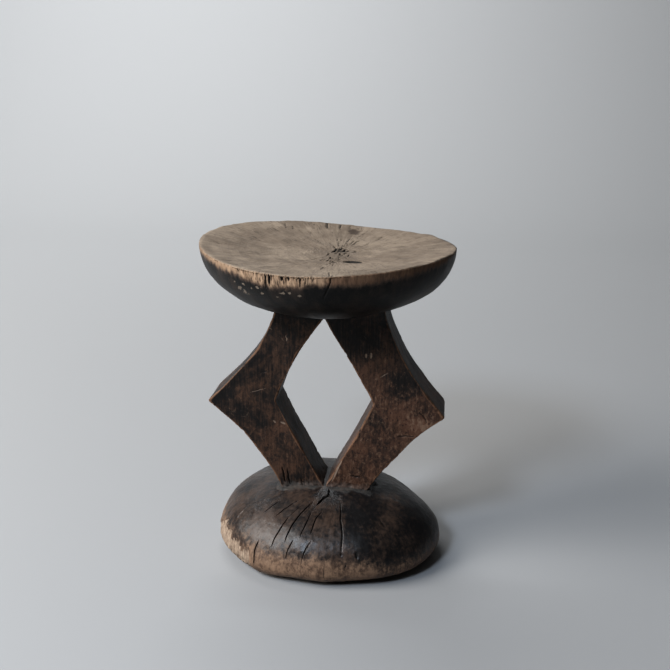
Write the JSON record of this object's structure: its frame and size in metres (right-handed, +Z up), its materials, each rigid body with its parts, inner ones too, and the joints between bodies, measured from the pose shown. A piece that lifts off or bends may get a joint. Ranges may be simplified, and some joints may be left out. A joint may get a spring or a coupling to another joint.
{
  "type": "carved stool",
  "caption": "Low stool carved from one log: a dished round seat on two elbowed legs that frame a lozenge window, over a domed round base.",
  "frame": {"origin": "on the floor, under the line where the two legs meet, halfway through their thickness", "axes": "+Z up from the floor to the seat, +X across the legs towards the right leg, +Y through the window"},
  "size_m": [0.2276, 0.2157, 0.2926],
  "materials": {
    "seat_wood": "bare end grain, worn smooth and matt, over a dark waxy underside",
    "leg_wood": "dark handled patina, satin, with reddish wear along the edges",
    "base_wood": "dark handled patina, satin, cracked, worn pale at the lower edge"
  },
  "bodies": {
    "root": {"seat": "seat_wood", "base": "base_wood", "left_leg": "leg_wood", "right_leg": "leg_wood"}
  },
  "joints": []
}
